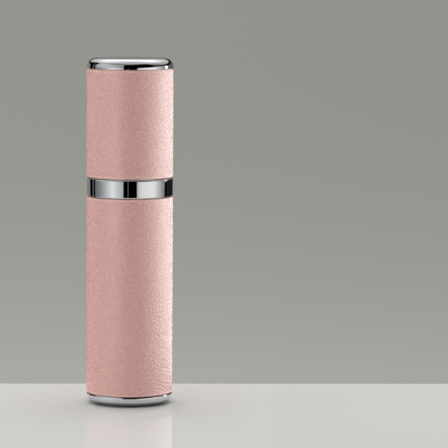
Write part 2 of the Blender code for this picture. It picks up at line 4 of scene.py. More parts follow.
import bmesh
import bpy
import numpy as np
from mathutils import Matrix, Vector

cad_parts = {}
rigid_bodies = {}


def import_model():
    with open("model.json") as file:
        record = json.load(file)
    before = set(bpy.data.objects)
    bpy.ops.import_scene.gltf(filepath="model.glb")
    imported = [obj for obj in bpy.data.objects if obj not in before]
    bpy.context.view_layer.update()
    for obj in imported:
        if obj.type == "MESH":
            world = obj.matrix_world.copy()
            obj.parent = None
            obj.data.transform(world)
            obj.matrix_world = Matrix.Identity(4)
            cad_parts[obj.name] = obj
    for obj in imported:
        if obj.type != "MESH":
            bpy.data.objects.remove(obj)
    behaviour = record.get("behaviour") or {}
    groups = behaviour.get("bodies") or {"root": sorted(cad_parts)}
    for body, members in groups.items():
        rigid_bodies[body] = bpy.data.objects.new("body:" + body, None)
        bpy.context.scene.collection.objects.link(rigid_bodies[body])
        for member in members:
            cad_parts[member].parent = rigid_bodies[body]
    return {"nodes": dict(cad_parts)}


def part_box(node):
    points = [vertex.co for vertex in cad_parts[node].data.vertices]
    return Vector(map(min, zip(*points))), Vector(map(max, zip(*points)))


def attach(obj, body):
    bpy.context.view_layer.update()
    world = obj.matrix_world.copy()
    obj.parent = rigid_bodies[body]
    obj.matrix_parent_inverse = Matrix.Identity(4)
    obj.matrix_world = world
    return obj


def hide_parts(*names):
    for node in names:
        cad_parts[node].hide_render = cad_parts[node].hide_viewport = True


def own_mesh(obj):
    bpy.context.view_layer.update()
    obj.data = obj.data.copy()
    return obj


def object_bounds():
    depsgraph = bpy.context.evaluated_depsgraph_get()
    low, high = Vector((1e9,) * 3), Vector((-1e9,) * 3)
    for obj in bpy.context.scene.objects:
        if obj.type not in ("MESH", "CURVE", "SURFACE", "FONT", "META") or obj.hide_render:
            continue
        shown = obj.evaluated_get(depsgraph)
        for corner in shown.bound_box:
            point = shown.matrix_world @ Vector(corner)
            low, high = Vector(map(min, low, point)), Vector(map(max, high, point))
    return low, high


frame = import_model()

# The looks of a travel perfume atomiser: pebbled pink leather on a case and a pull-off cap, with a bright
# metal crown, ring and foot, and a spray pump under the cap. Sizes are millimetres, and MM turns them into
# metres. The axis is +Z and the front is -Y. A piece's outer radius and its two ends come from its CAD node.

MM = 0.001
CAD_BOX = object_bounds()
CAD_BOX_MIDDLE = (0, 0, CAD_BOX[1][2] / 2)

# Camera, from the curves of the rims in the photograph
CAMERA_DISTANCE, CAMERA_HEIGHT = 783.5, 125.7
CAMERA_LENS = 228.3
CAMERA_PITCH, CAMERA_YAW, CAMERA_ROLL = math.radians(5.53), math.radians(1.91), math.radians(0.33)

# Leather: the pebbles' size, relief, stretch and lean, then the strip itself and the spacing of its vertices
GRAIN_CELL = 0.85
GRAIN_DEPTH = 0.14
GRAIN_STRETCH, GRAIN_LEAN = 1.2, math.radians(76)
CAP_SEED, CASE_SEED = 11, 37
LEATHER_EDGE = 0.28
LEATHER_THICKNESS = 0.5
LEATHER_STEP = 0.14
SEAM_GAP = 0.15
SKIVE_DEPTH, SKIVE_WIDTH = 0.16, 0.7
# Width of the painted highlight along the leather's turned edges
EDGE_HIGHLIGHT_WIDTH = 0.9

# Floor: the share of its surface that mirrors, and the light that only the floor gets, in watts, elevation
# and size
FLOOR_POLISH = 0.2
FLOOR_LIGHT, FLOOR_LIGHT_RISE, FLOOR_LIGHT_SIZE = 8.3, 88, 1200

# Soft lights fill the colour of leather, plastic, foam and rubber: azimuth from the camera, and watts
SOFT_LIGHTS = [
    (-150, 3.5), (-110, 1.7), (-75, 2.3), (-40, 3.1),
    (15, 1.7), (65, 2.5), (100, 2.2), (140, 4.6),
]
# Strips only gleam on the leather, and make its grain sparkle: azimuth, width and watts
STRIPS = [
    (-116, 300, 0.6), (-42, 110, 0.9), (60, 90, 1.0),
    (80, 90, 2.1), (106, 170, 5.1), (140, 320, 3.4),
]
# Lights that only the satin metal gets: azimuth and watts, all at one elevation
METAL_LIGHTS = [(-165, 0.5), (-110, 0.6), (-48, 0.7), (12, 0.35), (62, 0.6), (125, 0.5)]
METAL_LIGHT_RISE = 10
# Size of these lights, strips' width aside, and their distance from the middle of the bottle
LIGHT_WIDTH, LIGHT_HEIGHT, LIGHT_DISTANCE = 300, 900, 900
WHITE, FLOOR_WHITE = (1.0, 1.0, 1.0), (1.0, 1.0, 0.985)

# Elevations between which the softboxes fade out downwards, and what is left of them at the lower one
FADE_LOW, FADE_HIGH, FADED = -34, -14, 0.35

# Inner radius of the tubes under the leather, and the spigots that are pressed into them
TUBE_BORE = 11.05
SPIGOT_RADIUS, SPIGOT_WALL = 11.0, 0.6

# Bright metal
CROWN_CORNER = 2.4
RING_FILLET = 0.45
FOOT_REACH, FOOT_RISE, FOOT_SHOULDER = 4.4, 2.45, 1.2
FOOT_RECESS = 5.5

# Sides of a turned piece, and the angles above which edges stay sharp: turned, cut by a boolean, and wire
ROUND_STEPS = 192
SHARP_ANGLE, CUT_SHARP_ANGLE, WIRE_SHARP_ANGLE = math.radians(40), math.radians(30), math.radians(50)


def radius_of(node):
    """Outer radius of a round CAD node."""
    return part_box(node)[1].x / MM


def foot_of(node):
    """Height of a CAD node's lower end."""
    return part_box(node)[0].z / MM


def top_of(node):
    """Height of a CAD node's upper end."""
    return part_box(node)[1].z / MM


# ---------------------------------------------------------------- meshes


def add_piece(name, mesh, material, body, nodes):
    """Makes a piece that rides on a body and takes the place of the CAD nodes."""
    piece = bpy.data.objects.new(name, mesh)
    bpy.context.scene.collection.objects.link(piece)
    mesh.materials.append(material)
    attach(piece, body)
    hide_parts(*nodes)
    return piece


def face_outwards(mesh):
    """Turns all of a closed mesh's faces outwards."""
    bm = bmesh.new()
    bm.from_mesh(mesh)
    bmesh.ops.recalc_face_normals(bm, faces=bm.faces)
    bm.to_mesh(mesh)
    bm.free()


def arc(centre_radius, centre_height, radius, start, end, steps=12, rise=None):
    """Points of a rounded corner, with angles in degrees from outwards (0) to up (90). A rise makes it
    elliptical: radius wide and rise high."""
    rise = rise or radius
    angles = [math.radians(start + (end - start) * i / steps) for i in range(steps + 1)]
    return [(centre_radius + radius * math.cos(a), centre_height + rise * math.sin(a)) for a in angles]


def lathe_mesh(name, outline, steps=ROUND_STEPS):
    """Spins an outline of (radius, height) about the axis. A point on the axis becomes one shared vertex."""
    points = np.array(outline, float) * MM
    angles = np.linspace(0, 2 * math.pi, steps, endpoint=False)
    vertices, rings = [], []
    for radius, height in points:
        first = len(vertices)
        if radius < 1e-9:
            vertices.append((0.0, 0.0, height))
            rings.append([first] * steps)
        else:
            vertices += [(radius * math.cos(a), radius * math.sin(a), height) for a in angles]
            rings.append(list(range(first, first + steps)))
    closed = points[0][0] > 1e-9 or points[-1][0] > 1e-9
    pairs = list(zip(rings, rings[1:])) + ([(rings[-1], rings[0])] if closed else [])
    faces = []
    for near, far in pairs:
        for i in range(steps):
            j = (i + 1) % steps
            corners = [near[i], near[j], far[j], far[i]]
            faces.append(list(dict.fromkeys(corners)))
    faces = [face for face in faces if len(face) > 2]
    mesh = bpy.data.meshes.new(name)
    mesh.from_pydata(vertices, [], faces)
    face_outwards(mesh)
    mesh.shade_smooth()
    mesh.set_sharp_from_angle(angle=SHARP_ANGLE)
    return mesh


def lathe(name, outline, material, body, nodes, steps=ROUND_STEPS):
    """A turned piece from its outline of (radius, height)."""
    return add_piece(name, lathe_mesh(name, outline, steps), material, body, nodes)


# ---------------------------------------------------------------- leather


def smooth_noise(x, y, cell, seed):
    """Value noise from -1 to 1 on a square lattice."""
    size = 256
    draw = np.random.default_rng(seed)
    table = draw.uniform(-1, 1, (size, size))
    x, y = x / cell, y / cell
    i, j = np.floor(x).astype(int), np.floor(y).astype(int)
    u, v = x - i, y - j
    u, v = u * u * (3 - 2 * u), v * v * (3 - 2 * v)
    a, b = table[i % size, j % size], table[(i + 1) % size, j % size]
    c, d = table[i % size, (j + 1) % size], table[(i + 1) % size, (j + 1) % size]
    return (a * (1 - u) + b * u) * (1 - v) + (c * (1 - u) + d * u) * v


def pebbles(x, y, cell, seed):
    """0 in the creases between pebbles, rising to 1 on their crowns."""
    size, margin, crease_width, crease_power = 512, 0.08, 0.55, 1.3
    draw = np.random.default_rng(seed)
    jitter = draw.uniform(margin, 1 - margin, (size, size, 2))
    x, y = x / cell, y / cell
    i, j = np.floor(x).astype(int), np.floor(y).astype(int)
    near = np.full(x.shape, 9.0)
    second = np.full(x.shape, 9.0)
    for di in (-1, 0, 1):
        for dj in (-1, 0, 1):
            spot = jitter[(i + di) % size, (j + dj) % size]
            away = np.hypot(i + di + spot[..., 0] - x, j + dj + spot[..., 1] - y)
            second = np.minimum(second, np.maximum(near, away))
            near = np.minimum(near, away)
    return 1 - np.exp(-(((second - near) / crease_width) ** crease_power))


def grain(around, up, seed):
    """Height of the leather's surface in millimetres, at most 0, over arc length and height. Big and small
    pebbles lie on a ripple and a slow drift. Also returns how near the crowns of the big pebbles are."""
    bend, bend_cell = 0.14, 0.9
    fine_cell, drift_cell, ripple_cell = GRAIN_CELL * 0.45, 4.5, 0.42
    coarse_share, fine_share, ripple_share, drift_share = 0.86, 0.05, 0.08, 0.1
    x = around + bend * smooth_noise(around, up, bend_cell, seed + 1)
    y = up + bend * smooth_noise(around, up, bend_cell, seed + 2)
    along = x * math.cos(GRAIN_LEAN) + y * math.sin(GRAIN_LEAN)
    across = y * math.cos(GRAIN_LEAN) - x * math.sin(GRAIN_LEAN)
    coarse = pebbles(along / GRAIN_STRETCH, across * GRAIN_STRETCH, GRAIN_CELL, seed + 3)
    fine = pebbles(along, across, fine_cell, seed + 4)
    drift = smooth_noise(around, up, drift_cell, seed + 5)
    ripple = smooth_noise(around, up, ripple_cell, seed + 6)
    total = coarse_share * coarse + fine_share * fine + ripple_share * ripple + drift_share * drift
    height = GRAIN_DEPTH * total
    return height - height.max(), coarse


def leather_wrap(name, node, body, material, seed):
    """A strip rolled round the tube, its long edges turned in and its ends butted at the back."""
    outer, bottom, top = radius_of(node), foot_of(node), top_of(node)
    inner, edge = outer - LEATHER_THICKNESS, LEATHER_EDGE
    rise = np.arange(1, int((top - bottom - 2 * edge) / LEATHER_STEP)) * LEATHER_STEP
    outline = [(inner, bottom)]
    outline += arc(outer - edge, bottom + edge, edge, -90, 0, 5)
    outline += [(outer, bottom + edge + z) for z in rise]
    outline += arc(outer - edge, top - edge, edge, 0, 90, 5)
    outline += [(inner, top)]
    radius, height = np.array(outline).T
    half_gap = SEAM_GAP / 2 / outer
    columns = int(2 * math.pi * outer / LEATHER_STEP)
    angle = np.linspace(math.pi / 2 + half_gap, math.pi * 2.5 - half_gap, columns)
    turn, up = np.meshgrid(angle, height, indexing="ij")
    out = np.broadcast_to(radius, turn.shape).copy()
    lift, crowns = grain(turn * outer, up, seed)
    # The grain is pressed flat on the turned edges, and the two ends are skived down at the seam.
    pressed, pressed_width = 0.25, 1.6 * edge
    end_distance = np.minimum(up - bottom, top - up)
    kept = np.clip(end_distance / pressed_width, pressed, 1) * (out > inner + 1e-6)
    seam_distance = np.minimum(turn - angle[0], angle[-1] - turn) * outer
    skived = SKIVE_DEPTH * np.clip(1 - seam_distance / SKIVE_WIDTH, 0, 1) ** 2 * (out > inner + 1e-6)
    out = out + lift * kept - skived
    x, y = out * np.cos(turn), out * np.sin(turn)
    vertices = np.stack([x, y, up], -1).reshape(-1, 3) * MM
    rows = len(outline)
    i, j = np.meshgrid(np.arange(columns - 1), np.arange(rows), indexing="ij")
    k = (j + 1) % rows
    faces = np.stack([i * rows + j, (i + 1) * rows + j, (i + 1) * rows + k, i * rows + k], -1)
    ends = [list(range(rows))[::-1], list(range((columns - 1) * rows, columns * rows))]
    mesh = bpy.data.meshes.new(name)
    mesh.from_pydata(vertices.tolist(), [], faces.reshape(-1, 4).tolist() + ends)
    mesh.shade_smooth()
    # How near the crowns of the big pebbles each vertex is; the material paints shade into the creases from
    # it
    relief = mesh.attributes.new("relief", "FLOAT", "POINT")
    relief.data.foreach_set("value", (crowns * kept).astype(np.float32).reshape(-1))
    # A patchy painted highlight lightens the leather along its turned edges, strongest right at the edge
    highlight_layer = mesh.attributes.new("edge_highlight", "FLOAT", "POINT")
    edge_lit = np.clip(1 - end_distance / EDGE_HIGHLIGHT_WIDTH, 0, 1)
    highlight_layer.data.foreach_set("value", edge_lit.astype(np.float32).reshape(-1))
    return add_piece(name, mesh, material, body, [node])


# ---------------------------------------------------------------- bright metal


def foot(material):
    """The base: a gentle curve under the leather, a large rounded corner and a shallow recess."""
    spigot_top, radius = top_of("base_cap"), radius_of("base_cap")
    rise = foot_of("lower_leather") - 0.03
    recess_depth, slant, edge = 0.3, 0.3, 0.1
    shoulder_angle, inner_floor = 25.7, 1.3
    outline = [
        (0, recess_depth),
        *arc(FOOT_RECESS - slant - edge, recess_depth - edge, edge, 90, 0, 4),
        *arc(FOOT_RECESS + edge, edge, edge, -180, -90, 4),
        *arc(radius - FOOT_REACH, FOOT_RISE, FOOT_REACH, -90, 0, 32, FOOT_RISE),
        *arc(radius - FOOT_SHOULDER, FOOT_RISE, FOOT_SHOULDER, 0, shoulder_angle),
        (SPIGOT_RADIUS, rise),
        (SPIGOT_RADIUS, spigot_top),
        (SPIGOT_RADIUS - SPIGOT_WALL, spigot_top),
        (SPIGOT_RADIUS - SPIGOT_WALL, inner_floor),
        (0, inner_floor),
    ]
    return lathe("foot", outline, material, "case", ["base_cap"])


def ring(material):
    """The middle ring, with its skirt in the tube and its neck for the cap."""
    radius, neck, bore = radius_of("middle_ring"), 10.15, 8.85
    skirt_bottom, neck_top = foot_of("middle_ring"), top_of("middle_ring")
    bottom, top = skirt_bottom + 3.9, foot_of("cap_leather") - 0.2
    skirt, skirt_bore, step = 11.0, 10.3, 0.7
    neck_edge, mouth_edge = 0.4, 0.15
    groove_bottom, groove_top, groove, groove_edge = 65.4, 66.8, 9.35, 0.08
    outline = [
        (skirt, skirt_bottom),
        (skirt, bottom),
        *arc(radius - RING_FILLET, bottom + RING_FILLET, RING_FILLET, -90, 0),
        *arc(radius - RING_FILLET, top - RING_FILLET, RING_FILLET, 0, 90),
        (neck, top),
        (neck, groove_bottom - groove_edge),
        (neck - groove_edge, groove_bottom),
        (groove, groove_bottom),
        (groove, groove_top),
        (neck - groove_edge, groove_top),
        (neck, groove_top + groove_edge),
        *arc(neck - neck_edge, neck_top - neck_edge, neck_edge, 0, 90, 8),
        *arc(bore + mouth_edge, neck_top - mouth_edge, mouth_edge, 90, 180, 4),
        (bore, bottom + step),
        (skirt_bore, bottom - step),
        (skirt_bore, skirt_bottom),
    ]
    return lathe("ring", outline, material, "case", ["middle_ring"])


def crown(material):
    """The top of the cap, nearly flat over a large rounded corner, with its spigot inside."""
    radius, top = radius_of("cap_top"), top_of("cap_top")
    rise = top_of("cap_leather") + 0.03
    edge, spigot_length, roof, inner_corner = 0.12, 1.9, 1.3, 0.6
    outline = [
        (0, top),
        *arc(radius - CROWN_CORNER, top - CROWN_CORNER, CROWN_CORNER, 90, 0, 32),
        (radius, rise + edge),
        (radius - edge, rise),
        (SPIGOT_RADIUS, rise),
        (SPIGOT_RADIUS, rise - spigot_length),
        (SPIGOT_RADIUS - SPIGOT_WALL, rise - spigot_length),
        (SPIGOT_RADIUS - SPIGOT_WALL, top - roof - inner_corner),
        (SPIGOT_RADIUS - SPIGOT_WALL - inner_corner, top - roof),
        (0, top - roof),
    ]
    return lathe("crown", outline, material, "cap", ["cap_top"])


# ---------------------------------------------------------------- tubes, pump and lining


def combine(piece, other, operation):
    """Applies a boolean with another mesh to a piece, and removes the other mesh."""
    helper = bpy.data.objects.new("helper", other)
    bpy.context.scene.collection.objects.link(helper)
    modifier = piece.modifiers.new(operation, "BOOLEAN")
    modifier.operation = operation
    modifier.solver = "EXACT"
    modifier.object = helper
    depsgraph = bpy.context.evaluated_depsgraph_get()
    mesh = bpy.data.meshes.new_from_object(piece.evaluated_get(depsgraph))
    piece.modifiers.clear()
    piece.data = mesh
    bpy.data.objects.remove(helper)
    mesh.shade_smooth()
    mesh.set_sharp_from_angle(angle=CUT_SHARP_ANGLE)


def cross_rod(radius, height, start, end, axis, steps=48):
    """A closed round rod across the bottle's axis, from start to end along +X or -Y, to cut a hole with."""
    rod = lathe_mesh("rod", [(0, start), (radius, start), (radius, end), (0, end)], steps)
    turn = Matrix.Rotation(math.pi / 2, 4, "X" if axis == "-Y" else "Y")
    rod.transform(Matrix.Translation((0, 0, height * MM)) @ turn)
    return rod


def eased_tube(name, node, inner, material, body):
    """A tube as long and as wide as its CAD node, with its edges broken."""
    outer, bottom, top = radius_of(node), foot_of(node), top_of(node)
    edge = 0.06
    outline = [
        *arc(outer - edge, bottom + edge, edge, -90, 0, 3),
        *arc(outer - edge, top - edge, edge, 0, 90, 3),
        *arc(inner + edge, top - edge, edge, 90, 180, 3),
        *arc(inner + edge, bottom + edge, edge, 180, 270, 3),
    ]
    return lathe(name, outline, material, body, [node])


def seal_ring(material):
    """The O-ring in the neck's groove, with the parting line that moulding leaves round its outside."""
    section, flash, flash_foot, flash_top = 0.42, 0.02, 0.03, 0.015
    centre = radius_of("neck_o_ring") - section
    height = (foot_of("neck_o_ring") + top_of("neck_o_ring")) / 2
    outline = [
        *arc(centre, height, section - flash, 6, 354, 28),
        (centre + section - flash, height - flash_foot),
        (centre + section, height - flash_top),
        (centre + section, height + flash_top),
        (centre + section - flash, height + flash_foot),
    ]
    return lathe("seal_ring", outline, material, "o_ring", ["neck_o_ring"])


def closure_cover(material):
    """The metal shell over the pump's closure, with a rolled lower edge, a fine groove above it and a
    rounded shoulder."""
    outer, bottom, top = radius_of("closure_shell"), foot_of("closure_shell"), top_of("closure_shell")
    wall, roof, hole, rounding, roll, hole_edge = 0.25, 0.35, 5.0, 0.7, 0.12, 0.1
    groove, groove_bottom = 0.18, bottom + 0.7
    outline = [
        *arc(outer - roll, bottom + roll, roll, -90, 0, 6),
        (outer, groove_bottom),
        *arc(outer, groove_bottom + groove, groove / 2, -90, -180, 5)[1:-1],
        *arc(outer, groove_bottom + groove, groove / 2, 180, 90, 5)[:-1],
        (outer, groove_bottom + 2 * groove),
        *arc(outer - rounding, top - rounding, rounding, 0, 90, 12),
        *arc(hole + hole_edge, top - hole_edge, hole_edge, 90, 180, 4),
        (hole, top - roof),
        (outer - wall, top - roof),
        (outer - wall, bottom + roll),
    ]
    return lathe("closure_cover", outline, material, "sprayer", ["closure_shell"])


def pump_gland(material):
    """The gland that the stem slides in, with a lip round its hole."""
    hole, outer = 1.7, radius_of("pump_turret")
    bottom, top = foot_of("pump_turret"), top_of("pump_turret")
    rounding, lip, lip_width, lip_foot, edge = 0.6, 0.15, 0.65, 0.1, 0.1
    outline = [
        (hole, bottom),
        (outer, bottom),
        *arc(outer - rounding, top - lip - rounding, rounding, 0, 90, 10),
        (hole + lip_width + lip_foot, top - lip),
        *arc(hole + lip_width - edge, top - edge, edge, 0, 90, 4),
        *arc(hole + edge, top - edge, edge, 90, 180, 4),
    ]
    return lathe("pump_gland", outline, material, "sprayer", ["pump_turret"])


def pump_stem(material):
    """The hollow push rod, with its shoulder, its flared end and its side port."""
    flare, bottom, top = radius_of("stem"), foot_of("stem"), top_of("stem")
    rod, bore, shoulder, edge = 1.6, 0.7, 2.1, 0.12
    shoulder_bottom, shoulder_top = bottom + 4.8, foot_of("pump_turret") - 0.25
    flare_top, taper_top, bore_bottom = bottom + 0.9, bottom + 1.3, bottom + 1.9
    port, port_height, port_reach = 0.3, bottom + 2.9, 2.5
    outline = [
        (0, bottom),
        *arc(flare - edge, bottom + edge, edge, -90, 0, 4),
        (flare, flare_top),
        (rod, taper_top),
        (rod, shoulder_bottom),
        *arc(shoulder - edge, shoulder_bottom + edge, edge, -90, 0, 4),
        *arc(shoulder - edge, shoulder_top - edge, edge, 0, 90, 4),
        (rod, shoulder_top),
        *arc(rod - edge, top - edge, edge, 0, 90, 4),
        (bore, top),
        (bore, bore_bottom),
        (0, bore_bottom),
    ]
    piece = lathe("pump_stem", outline, material, "stem", ["stem"], 96)
    combine(piece, cross_rod(port, port_height, -port_reach, port_reach, "+X"), "DIFFERENCE")
    return piece


def spray_cover(material):
    """The metal cover of the spray head: dished for a fingertip, with a window for the nozzle."""
    outer, bottom, top = radius_of("actuator_shell"), foot_of("actuator_shell"), top_of("actuator_shell")
    wall, rounding, dish, ceiling, roll = 0.25, 0.9, 0.4, 0.8, 0.11
    inner, rim, inner_corner = outer - wall, outer - 1.3, 0.5
    window, window_height, window_start, window_end = 2.1, bottom + 4.2, 5.0, 7.5
    bowl_steps = 16
    shares = [1 - i / bowl_steps for i in range(1, bowl_steps + 1)]
    bowl = [(rim * share, top - dish * (1 - share ** 2) ** 1.5) for share in shares]
    outline = [
        (0, top - ceiling),
        (inner - inner_corner, top - ceiling),
        (inner, top - ceiling - inner_corner),
        (inner, bottom + roll),
        *arc(outer - roll, bottom + roll, roll, -90, 0, 5),
        *arc(outer - rounding, top - rounding, rounding, 0, 80, 14),
        (rim, top),
        *bowl,
    ]
    piece = lathe("spray_cover", outline, material, "spray_head", ["actuator_shell"])
    cutter = cross_rod(window, window_height, window_start, window_end, "-Y", 64)
    combine(piece, cutter, "DIFFERENCE")
    return piece


def spray_nozzle(material):
    """The nozzle, with a stepped face round its fine orifice."""
    low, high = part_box("nozzle_insert")
    radius, length = (high.x - low.x) / 2 / MM, (high.y - low.y) / MM
    orifice, throat, throat_depth = 0.2, 0.05, 0.5
    chamber, plate, edge = 1.0, 0.7, 0.2
    well, well_edge, well_foot, well_depth = 1.1, 0.08, 1.0, 0.25
    funnel, funnel_depth = 0.75, 0.3
    outline = [
        (chamber, 0),
        (radius, 0),
        *arc(radius - edge, length - edge, edge, 0, 90, 6),
        *arc(well, length - well_edge, well_edge, 90, 180, 4),
        (well_foot, length - well_depth),
        (funnel, length - funnel_depth),
        (orifice + throat, length - throat_depth + throat),
        (orifice, length - throat_depth),
        (orifice, length - plate),
        (chamber, length - plate),
    ]
    piece = lathe("spray_nozzle", outline, material, "spray_head", ["nozzle_insert"], 96)
    height = (low.z + high.z) / 2
    piece.data.transform(Matrix.Translation((0, high.y, height)) @ Matrix.Rotation(math.pi / 2, 4, "X"))
    return piece


def spring(material):
    """The return spring, drawn wire with closed end coils."""
    wire, coils, steps_a_turn, sides, end_pitch = 0.25, 6.5, 36, 12, 0.62
    bottom, top = foot_of("return_spring") + wire, top_of("return_spring") - wire
    coil = radius_of("return_spring") - wire
    middle_pitch = (top - bottom - 2 * end_pitch) / (coils - 2)
    count = int(coils * steps_a_turn) + 1
    vertices, faces = [], []
    for i in range(count):
        turn = coils * i / (count - 1)
        ends = min(turn, 1.0) + max(turn - (coils - 1.0), 0.0)
        height = bottom + end_pitch * ends + middle_pitch * (turn - ends)
        angle = 2 * math.pi * turn
        for j in range(sides):
            round_wire = 2 * math.pi * j / sides
            out = (coil + wire * math.cos(round_wire)) * MM
            up = (height + wire * math.sin(round_wire)) * MM
            vertices.append((out * math.cos(angle), out * math.sin(angle), up))
    for i in range(count - 1):
        for j in range(sides):
            k = (j + 1) % sides
            faces.append((i * sides + j, (i + 1) * sides + j, (i + 1) * sides + k, i * sides + k))
    faces += [tuple(range(sides)), tuple(range(count * sides - 1, (count - 1) * sides - 1, -1))]
    mesh = bpy.data.meshes.new("spring")
    mesh.from_pydata(vertices, [], faces)
    mesh.shade_smooth()
    mesh.set_sharp_from_angle(angle=WIRE_SHARP_ANGLE)
    piece = add_piece("spring", mesh, material, "sprayer", ["return_spring"])
    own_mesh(piece)
    return piece


def valve_ball(material):
    """The check ball that sits on the pump's inlet."""
    clearance = 0.01
    radius = radius_of("inlet_ball") - clearance
    middle = (foot_of("inlet_ball") + top_of("inlet_ball")) / 2
    outline = arc(0, middle, radius, -90, 90, 32)
    return lathe("valve_ball", outline, material, "ball", ["inlet_ball"], 64)


def cap_lining(material):
    """The inner cap, with a lead-in at its mouth and a rounded corner under its roof."""
    outer, bottom, top = radius_of("cap_liner"), foot_of("cap_liner"), top_of("cap_liner")
    inner, lead_in, roof, corner = 10.3, 0.3, 0.8, 0.6
    edge, mouth_edge = 0.1, 0.08
    outline = [
        (0, top),
        *arc(outer - edge, top - edge, edge, 90, 0, 4),
        *arc(outer - mouth_edge, bottom + mouth_edge, mouth_edge, 0, -90, 4),
        *arc(inner + lead_in, bottom + lead_in, lead_in, -90, -180, 6),
        *arc(inner - corner, top - roof - corner, corner, 0, 90, 8),
        (0, top - roof),
    ]
    return lathe("cap_lining", outline, material, "cap", ["cap_liner"])


def thread_ridge(root, crest, bottom):
    """A helical ridge that fades in and out of the wall it sits on over a quarter turn."""
    turns, pitch, steps = 1.5, 2.1, 96
    fade, embed, foot_width, crest_width = 0.25, 0.25, 1.0, 0.5
    vertices, faces = [], []
    count = int(turns * steps)
    for i in range(count + 1):
        done = i / steps
        share = min(1.0, done / fade, (turns - done) / fade)
        height = bottom + pitch * done
        reach = root - embed / 2 + (crest - root + embed / 2) * share
        for radius, rise in (
            (root - embed, -foot_width / 2), (reach, -crest_width / 2),
            (reach, crest_width / 2), (root - embed, foot_width / 2),
        ):
            angle = 2 * math.pi * (done + 0.5 / steps)
            across, up = radius * MM, (height + rise) * MM
            vertices.append((across * math.cos(angle), across * math.sin(angle), up))
    for i in range(count):
        for j in range(4):
            k = (j + 1) % 4
            faces.append((4 * i + j, 4 * i + k, 4 * i + 4 + k, 4 * i + 4 + j))
    faces += [(3, 2, 1, 0), (4 * count, 4 * count + 1, 4 * count + 2, 4 * count + 3)]
    mesh = bpy.data.meshes.new("thread")
    mesh.from_pydata(vertices, [], faces)
    face_outwards(mesh)
    return mesh


def vial(material):
    """The blown glass vial, with a thick raised bottom, a soft shoulder and a screw neck."""
    outer, bottom, top = radius_of("glass_vial"), foot_of("glass_vial"), top_of("glass_vial")
    wall, neck, bore, corner, floor_thickness, push_up = 1.2, 6.65, 5.4, 1.3, 1.6, 0.5
    shoulder, neck_root, lip = bottom + 48.2, top - 11.5, 0.3
    ridge, thread_start = 0.75, top - 6.0
    slope_width, slope_share, heel_edge = 2.4, 0.7, 0.1
    inner, rise = outer - wall, neck_root - shoulder
    outline = [
        (0, bottom + push_up),
        (inner - slope_width, bottom + push_up * slope_share),
        *arc(inner - corner + heel_edge, bottom + heel_edge, heel_edge, -150, -90, 3),
        *arc(outer - corner, bottom + corner, corner, -80, 0, 12),
        *arc(neck, shoulder, outer - neck, 0, 90, 20, rise),
        *arc(neck - lip, top - lip, lip, 0, 90, 6),
        *arc(bore + lip, top - lip, lip, 90, 180, 6),
        *arc(bore, shoulder - 1, inner - bore, 90, 0, 20, rise),
        *arc(inner - corner, bottom + floor_thickness + corner, corner, 0, -90, 12),
        (0, bottom + floor_thickness + push_up / 2),
    ]
    piece = lathe("vial", outline, material, "case", ["glass_vial"], 128)
    combine(piece, thread_ridge(neck, neck + ridge, thread_start), "UNION")
    return piece


# ---------------------------------------------------------------- materials


def make_material(name):
    """A new material, its node tree and its shader."""
    material = bpy.data.materials.new(name)
    material.use_nodes = True
    return material, material.node_tree, material.node_tree.nodes["Principled BSDF"]


def add_node(tree, kind, settings=(), **inputs):
    """Adds a shader node. settings are its properties, and inputs are values or sockets by input name."""
    node = tree.nodes.new(kind)
    for key, value in dict(settings).items():
        setattr(node, key, value)
    for key, value in inputs.items():
        socket = node.inputs[key.replace("_", " ")]
        if isinstance(value, bpy.types.NodeSocket):
            tree.links.new(value, socket)
        else:
            socket.default_value = value
    return node


def position(tree):
    """Place on the piece, in metres."""
    return add_node(tree, "ShaderNodeTexCoord").outputs["Object"]


def noise(tree, cell, detail=3.0, roughness=0.55, vector=None):
    """Noise whose features are about cell millimetres across."""
    vector = vector or position(tree)
    return add_node(
        tree, "ShaderNodeTexNoise", Vector=vector, Scale=1 / (cell * MM), Detail=detail, Roughness=roughness
    ).outputs["Fac"]


def spread(tree, value, low, high, from_low=0.0, from_high=1.0):
    """Maps a value from one range to another, without going past its ends."""
    node = add_node(tree, "ShaderNodeMapRange", Value=value)
    node.inputs["From Min"].default_value = from_low
    node.inputs["From Max"].default_value = from_high
    node.inputs["To Min"].default_value = low
    node.inputs["To Max"].default_value = high
    return node.outputs["Result"]


def mix(tree, share, first, second):
    """A colour between the first, at share 0, and the second, at share 1."""
    node = add_node(tree, "ShaderNodeMix", {"data_type": "RGBA"})
    sockets = {"Factor": share, "A": first, "B": second}
    colour_inputs = {s.name: s for s in node.inputs if s.enabled}
    for key, value in sockets.items():
        if isinstance(value, bpy.types.NodeSocket):
            tree.links.new(value, colour_inputs[key])
        else:
            colour_inputs[key].default_value = value
    return next(s for s in node.outputs if s.enabled)


def bump(tree, height, strength, depth):
    """Normals of a relief that is depth millimetres deep."""
    return add_node(
        tree, "ShaderNodeBump", Height=height, Strength=strength, Distance=depth * MM
    ).outputs["Normal"]


def join(tree, shader, **inputs):
    """Sets or links the shader's inputs by name."""
    for key, value in inputs.items():
        socket = shader.inputs[key.replace("_", " ")]
        if isinstance(value, bpy.types.NodeSocket):
            tree.links.new(value, socket)
        else:
            socket.default_value = value


